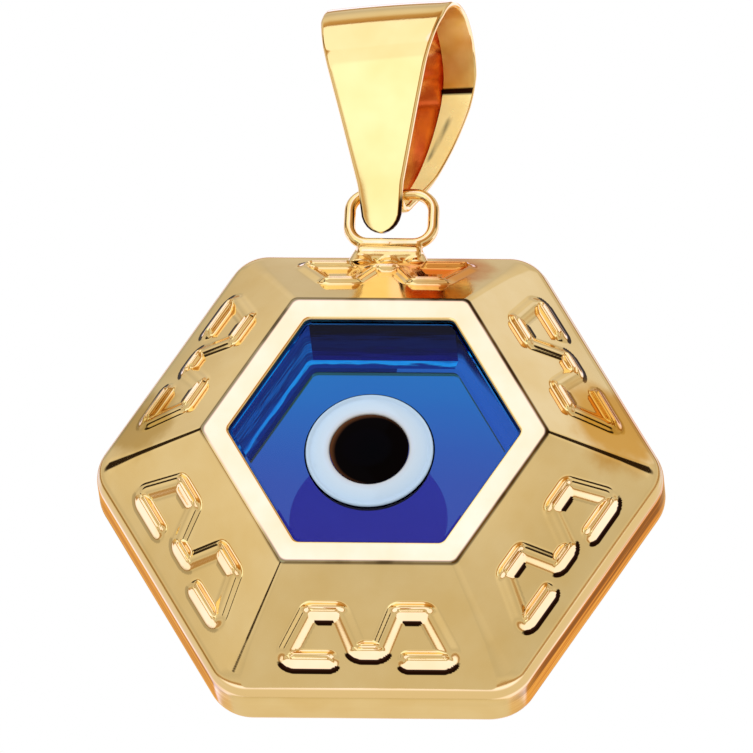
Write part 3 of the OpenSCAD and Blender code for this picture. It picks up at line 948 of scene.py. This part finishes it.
middle = strip_t / 2
front_way = np.array([-math.cos(leaf_lean), -math.sin(leaf_lean)])
leaf_way = np.array([-math.sin(leaf_lean), math.cos(leaf_lean)])
leaf_foot = seat_centre + front_way * (seat_r + middle)
tip_along = (tongue_tip_z - leaf_foot[1]) / leaf_way[1]
leaf_length = math.sqrt(seat_drop**2 - (bend_inside - seat_r) ** 2)
tongue_r = strip_widths[0] / 2
tip_rises = tongue_r * (1 - np.cos(np.radians([8, 20, 34, 48, 62, 76, 90])))
leaf_stops = np.concatenate(
    [tip_along + tip_rises / leaf_way[1], np.linspace(tip_along + 1.2 * tongue_r, leaf_length, 40)[:-1]]
)
strip_path = [(*(leaf_foot + leaf_way * along), *front_way) for along in leaf_stops]
back_end = math.degrees(math.atan2(*(seat_centre - back_centre)[::-1]))
strip_path += arc_of(bend_centre, bend_inside + middle, 180 + math.degrees(leaf_lean), 0, 56)
strip_path += arc_of(back_centre, back_arc_r + middle, 0, back_end, 40)[1:]
strip_path += arc_of(seat_centre, seat_r + middle, back_end, -138, 14)[1:]

crown = 0.05 * mm
most_flare = 0.13 * mm
flare_from = 0.45
across_shares = np.linspace(-1, 1, 21)
edge_turns = np.radians(np.linspace(0, 90, 5))


def strip_section(width, flare):
    """Points round the strip: distance across it, and height over its middle."""
    half = width / 2
    top = middle - crown * min(1, half / tongue_r) ** 2
    edge = min((top + middle - flare) * 0.48, half * 0.8)
    inner = half - edge
    low = flare - middle
    points = [(share * inner, middle + (top - middle) * share**2) for share in across_shares]
    side = [(inner + edge * math.sin(a), top - edge + edge * math.cos(a)) for a in edge_turns[1:]]
    side += [(inner + edge * math.cos(a), low + edge - edge * math.sin(a)) for a in edge_turns]
    points += side
    for share in across_shares[::-1][1:-1]:
        points.append((share * inner, flare * max(0, abs(share) - flare_from) / (1 - flare_from) - middle))
    return points + [(-across, over) for across, over in side[::-1]]


# The back leaf's margins are rolled outwards. Painted shade darkens the tongue's edge and,
# inside, the fold's line and a streak up each half of the strip.
place_bail = np.array(Matrix.Rotation(bail_lean, 3, "Y") @ Matrix.Rotation(bail_turn, 3, "Z"))
flare_starts, flare_ends = len(leaf_stops) + 20, len(strip_path) - 20
flare_rows = [flare_starts, len(leaf_stops) + 50, flare_ends - 12, flare_ends]
fold_z = -1.65 * mm
tongue_rises = [0.8 * mm, 1.6 * mm]
fold_reach = [0.04 * mm, 0.17 * mm]
streak_heights = [-5.4 * mm, -4.6 * mm, -2.8 * mm, -2.2 * mm]
inside_from = len(across_shares) + 2 * len(edge_turns) - 2
strip_rings, painted_dark_marks = [], []
for k, (y, z, way_y, way_z) in enumerate(strip_path):
    width = float(np.interp(z, strip_heights, strip_widths))
    rise = z - tongue_tip_z
    if rise < tongue_r:
        width = 2 * math.sqrt(max(tongue_r**2 - (tongue_r - rise) ** 2, (0.1 * mm) ** 2))
    flare = np.interp(k, flare_rows, [0, most_flare, most_flare, 0])
    section = strip_section(width, float(flare))
    ring = [(across, y + way_y * over, z + way_z * over) for across, over in section]
    strip_rings.append(np.array(ring) @ place_bail.T)
    on_tongue = float(np.interp(rise, tongue_rises, [0.85, 0])) if k < len(leaf_stops) else 0.0
    inner = range(inside_from, inside_from + len(across_shares))
    for j in range(len(section)):
        painted_dark_marks.append(0.0 if j < len(across_shares) else on_tongue * (0.5 if j in inner else 1.0))
    if k > flare_starts:
        fold = np.interp(abs(z - fold_z), fold_reach, [0.95, 0])
        streak = np.interp(z, streak_heights, [0, 0.6, 0.6, 0])
        streak_at = np.interp(z, [-5.0 * mm, -2.0 * mm], [0.56, 0.78])
        for j in inner:
            across = abs(2 * (j - inside_from) / (len(across_shares) - 1) - 1)
            on_streak = streak * max(0, 1 - abs(across - streak_at) / 0.19)
            painted_dark_marks[k * len(section) + j] = float(max(on_streak, fold if across > 0.45 else 0))
bail = loft("folded_bail", strip_rings)
bail.data.attributes.new("crease", "FLOAT", "POINT").data.foreach_set("value", painted_dark_marks)
# The inside gold is a darker, redder copy as painted shade and reflection. The margin gold above the fold is
# painted reflection, and the lit gold below it glows as painted light.
# Columns: name, darker tone, lighter tone, haze, size of the mottle, relief
bail_golds = [
    ("bail_gold", (0.93, 0.66, 0.26), (1.0, 0.77, 0.36), (0.05, 0.12), 3.0 * mm, 0.07),
    ("bail_inside_gold", (0.62, 0.19, 0.07), (0.9, 0.46, 0.18), (0.06, 0.14), 1.4 * mm, 0.1),
    ("bail_margin_gold", (0.8, 0.48, 0.12), (0.95, 0.64, 0.22), (0.3, 0.45), 1.2 * mm, 0.1),
    ("bail_lit_gold", (1.0, 0.82, 0.3), (1.0, 0.92, 0.44), (0.2, 0.3), 1.2 * mm, 0.1),
]
for row in bail_golds:
    bail.data.materials.append(polished_gold(*row))
inside_shade_gold, margin_reflection_gold, lit_gold = 1, 2, 3
lit_tree = bail.data.materials[lit_gold].node_tree
lit_shader = lit_tree.nodes["Principled BSDF"]
fill(lit_tree, lit_shader, Metallic=0.3, Emission_Color=(1.0, 0.8, 0.35, 1), Emission_Strength=0.22)
section_points = len(strip_rings[0])
margin_from, rolled_middle = 0.24, 0.475
for k, polygon in enumerate(bail.data.polygons):
    row = k // section_points
    across = (k % section_points - inside_from) / (len(across_shares) - 1)
    if 0 <= across < 1:
        rolled = abs(across - rolled_middle) > margin_from and row > len(leaf_stops)
        above_fold = strip_path[row][1] > fold_z
        polygon.material_index = inside_shade_gold if not rolled else margin_reflection_gold if above_fold else lit_gold
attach(bail, "bail")
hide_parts("bail")

# The studio
# A pale floor far below, a white surround, and the light that polished metal mirrors:
# a cool soft box in front and above, dark cloth round it, and warm paper beyond.
floor_drop = 1.15
floor_half = 1.5
floor_corners = [(x, y, -floor_drop) for x in (-floor_half, floor_half) for y in (-floor_half, floor_half)]
floor = new_mesh("floor", floor_corners, [(0, 2, 3, 1)], smooth=False)
floor_paint, floor_tree, floor_shader, _ = new_material("pale_floor")
fill(floor_tree, floor_shader, Base_Color=(0.74, 0.74, 0.74, 1), Roughness=0.9)
floor.data.materials.append(floor_paint)
floor.visible_glossy = False

# Where the soft box stands, seen from the pendant, and what lies at each angle
# from it. Columns: angle in degrees, light.
soft_box_way = Vector((-0.09, -0.865, 0.49)).normalized()
surround = [
    (0, (0.75, 0.55, 0.35)),
    (20, (0.7, 0.48, 0.28)),
    (36, (0.5, 0.3, 0.13)),
    (45, (0.42, 0.23, 0.09)),
    (55, (0.6, 0.4, 0.2)),
    (61, (0.8, 0.74, 0.66)),
    (67, (0.8, 0.76, 0.72)),
    (72, (0.74, 0.7, 0.66)),
    (76, (0.66, 0.62, 0.58)),
    (80, (0.6, 0.57, 0.53)),
    (84, (0.64, 0.6, 0.56)),
    (88, (0.72, 0.68, 0.62)),
    (91, (0.5, 0.34, 0.2)),
    (96, (0.45, 0.28, 0.14)),
    (100, (1.2, 1.2, 1.5)),
    (105, (1.25, 1.25, 1.85)),
    (150, (1.25, 1.22, 1.75)),
    (180, (1.1, 1.0, 0.85)),
]
world = bpy.data.worlds.new("studio")
bpy.context.scene.world = world
world.use_nodes = True
sky = world.node_tree
sky.nodes.clear()
sky_way = sky.nodes.new("ShaderNodeTexCoord").outputs["Generated"]
towards = vector_maths(sky, "DOT_PRODUCT", sky_way, soft_box_way)
angle = maths(sky, "DIVIDE", maths(sky, "ARCCOSINE", towards), math.pi)
light = ramp(sky, angle, [(degrees / 180, colour) for degrees, colour in surround])
# Cards and flags. Columns: the way to it, angles where it is full and where it ends, light.
cards = [
    ((-0.073, -0.45, -0.89), 10, 15, (0.66, 0.62, 0.57)),
    ((0.55, 0.0, 0.835), 4, 12, (0.84, 0.85, 0.98)),
    ((-0.53, 0.4, 0.75), 3, 10, (0.49, 0.5, 0.48)),
    ((-0.25, 0.95, -0.1), 13, 20, (0.8, 0.62, 0.4)),
    ((0.22, 0.95, -0.16), 13, 20, (0.8, 0.62, 0.4)),
    ((-0.09, 0.865, -0.49), 21, 29, (0.76, 0.7, 0.6)),
    ((-0.2, 0.87, 0.42), 12, 18, (0.8, 0.5, 0.22)),
    ((0.2, 0.87, 0.42), 12, 18, (0.85, 0.52, 0.22)),
    ((-0.38, 0.865, 0.325), 6, 12, (0.85, 0.48, 0.14)),
    ((0.472, 0.865, 0.167), 6, 12, (0.9, 0.52, 0.16)),
    ((-0.36, -0.62, 0.7), 24, 26, (1.15, 1.24, 1.4)),
    ((-0.36, -0.92, 0.02), 21, 24, (1.15, 1.2, 1.3)),
    ((-0.4, -0.87, -0.28), 14, 20, (1.15, 1.36, 1.5)),
    ((-0.861, -0.126, 0.492), 8, 12, (0.03, 0.02, 0.015)),
    ((0.816, -0.303, 0.492), 9, 13, (0.03, 0.02, 0.015)),
    ((-0.64, -0.61, -0.46), 4, 7, (0.04, 0.025, 0.015)),
    (soft_box_way, 9, 12, (1.3, 1.31, 2.23)),
]
for way, full, end, colour in cards:
    facing = vector_maths(sky, "DOT_PRODUCT", sky_way, Vector(way).normalized())
    cover = span(sky, facing, math.cos(math.radians(end)), math.cos(math.radians(full)), smooth=True)
    light = mixed(sky, cover, light, (*colour, 1))
mirrored = outcome(sky, "ShaderNodeBackground", Color=light)
plain = outcome(sky, "ShaderNodeBackground", Color=(1, 1, 1, 1))
rays = sky.nodes.new("ShaderNodeLightPath").outputs
in_metal = maths(sky, "SUBTRACT", rays["Is Glossy Ray"], rays["Is Transmission Ray"])
either = sky.nodes.new("ShaderNodeMixShader")
feed(sky, either.inputs, (in_metal, plain, mirrored))
add_node(sky, "ShaderNodeOutputWorld", Surface=either.outputs[0])
world.cycles.sampling_method = "NONE"

# The camera
# It looks up at the pendant from below and slightly to the right, through a long lens.
azimuth = math.radians(4.8)
elevation = math.radians(-29.5)
camera_roll = math.radians(2.8)
camera_distance = 0.8
frame_width = 26.5 * mm
level = math.cos(elevation)
back_way = Vector((math.sin(azimuth) * level, -math.cos(azimuth) * level, math.sin(elevation)))
upright = back_way.to_track_quat("Z", "Y").to_matrix()
camera_turn = upright @ Matrix.Rotation(camera_roll, 3, "Z")
camera_data = bpy.data.cameras.new("camera")
camera_data.lens = camera_data.sensor_width * camera_distance / frame_width
camera_data.clip_start = 0.01
camera = placed("camera", camera_data)
aim = window + camera_turn @ Vector((0.08 * mm, 1.88 * mm, 0))
camera.matrix_world = Matrix.Translation(aim + back_way * camera_distance) @ camera_turn.to_4x4()
bpy.context.scene.camera = camera
bpy.context.scene.view_settings.view_transform = "Standard"
